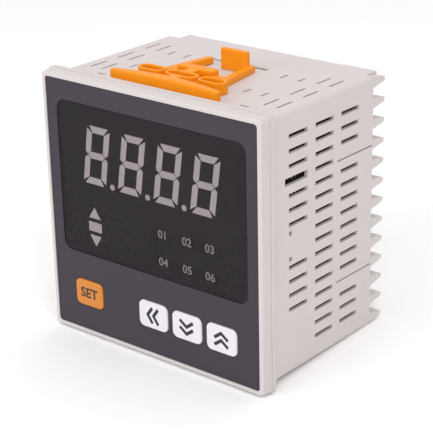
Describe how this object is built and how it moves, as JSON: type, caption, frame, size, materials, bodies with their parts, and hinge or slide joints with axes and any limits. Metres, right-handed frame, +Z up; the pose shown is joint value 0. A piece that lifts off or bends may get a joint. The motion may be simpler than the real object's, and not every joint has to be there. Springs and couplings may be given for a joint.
{
  "type": "panel-mount temperature controller",
  "caption": "Square panel-mount PID temperature controller: vented housing, dark front with window and keys, sprung bracket and rear screw terminals.",
  "frame": {"origin": "centre of the flange face that rests against the panel", "axes": "+Y into the panel, towards the terminals; +Z up; +X to the right seen from the front"},
  "size_m": [0.096, 0.0706, 0.1011],
  "materials": {
    "case_grey": "fine moulded texture",
    "bezel_grey": "satin moulded",
    "sheet_dark": "matt printed sheet",
    "window_smoke": "smoked, satin",
    "reflector_black": "matt black",
    "segment_grey": "unlit milky diffuser",
    "lens_dark": "unlit dark lens",
    "key_orange": "satin moulded key",
    "key_white": "satin moulded key",
    "switch_black": "moulded",
    "board_green": "solder resist",
    "screw_steel": "zinc plated",
    "connector_black": "moulded",
    "chip_black": "epoxy",
    "ferrite": "sintered ferrite",
    "bobbin_cream": "moulded bobbin with taped winding",
    "can_sleeve": "shrink sleeve",
    "relay_blue": "sealed relay",
    "plated_brass": "nickel plated brass",
    "bracket_orange": "moulded, slightly waxy"
  },
  "bodies": {
    "controller_body": {"case": "case_grey", "front_bezel": "bezel_grey", "front_sheet": "sheet_dark", "display_window": "window_smoke", "display_reflector": "reflector_black", "digit_segments": "segment_grey", "deviation_lenses": "segment_grey", "indicator_lenses": "lens_dark", "key_switches": "switch_black", "display_board": "board_green", "display_board_screws": "screw_steel", "board_connectors": "connector_black", "power_board": "board_green", "main_board": "board_green", "microcontroller": "chip_black", "transformer_core": "ferrite", "transformer_bobbin": "bobbin_cream", "smoothing_capacitors": "can_sleeve", "output_relays": "relay_blue", "rear_cover": "case_grey", "terminal_block": "case_grey", "terminal_plates": "plated_brass", "terminal_screws": "screw_steel", "panel_bracket": "bracket_orange"},
    "mode_key_body": {"mode_key": "key_orange"},
    "shift_key_body": {"shift_key": "key_white"},
    "down_key_body": {"down_key": "key_white"},
    "up_key_body": {"up_key": "key_white"}
  },
  "joints": [
    {"name": "mode_key_press", "type": "slide", "parent": "controller_body", "child": "mode_key_body", "axis": [0, 1, 0], "range_m": [0, 0.0005], "stiffness_N_per_m": 2500},
    {"name": "shift_key_press", "type": "slide", "parent": "controller_body", "child": "shift_key_body", "axis": [0, 1, 0], "range_m": [0, 0.0005], "stiffness_N_per_m": 2500},
    {"name": "down_key_press", "type": "slide", "parent": "controller_body", "child": "down_key_body", "axis": [0, 1, 0], "range_m": [0, 0.0005], "stiffness_N_per_m": 2500},
    {"name": "up_key_press", "type": "slide", "parent": "controller_body", "child": "up_key_body", "axis": [0, 1, 0], "range_m": [0, 0.0005], "stiffness_N_per_m": 2500}
  ]
}
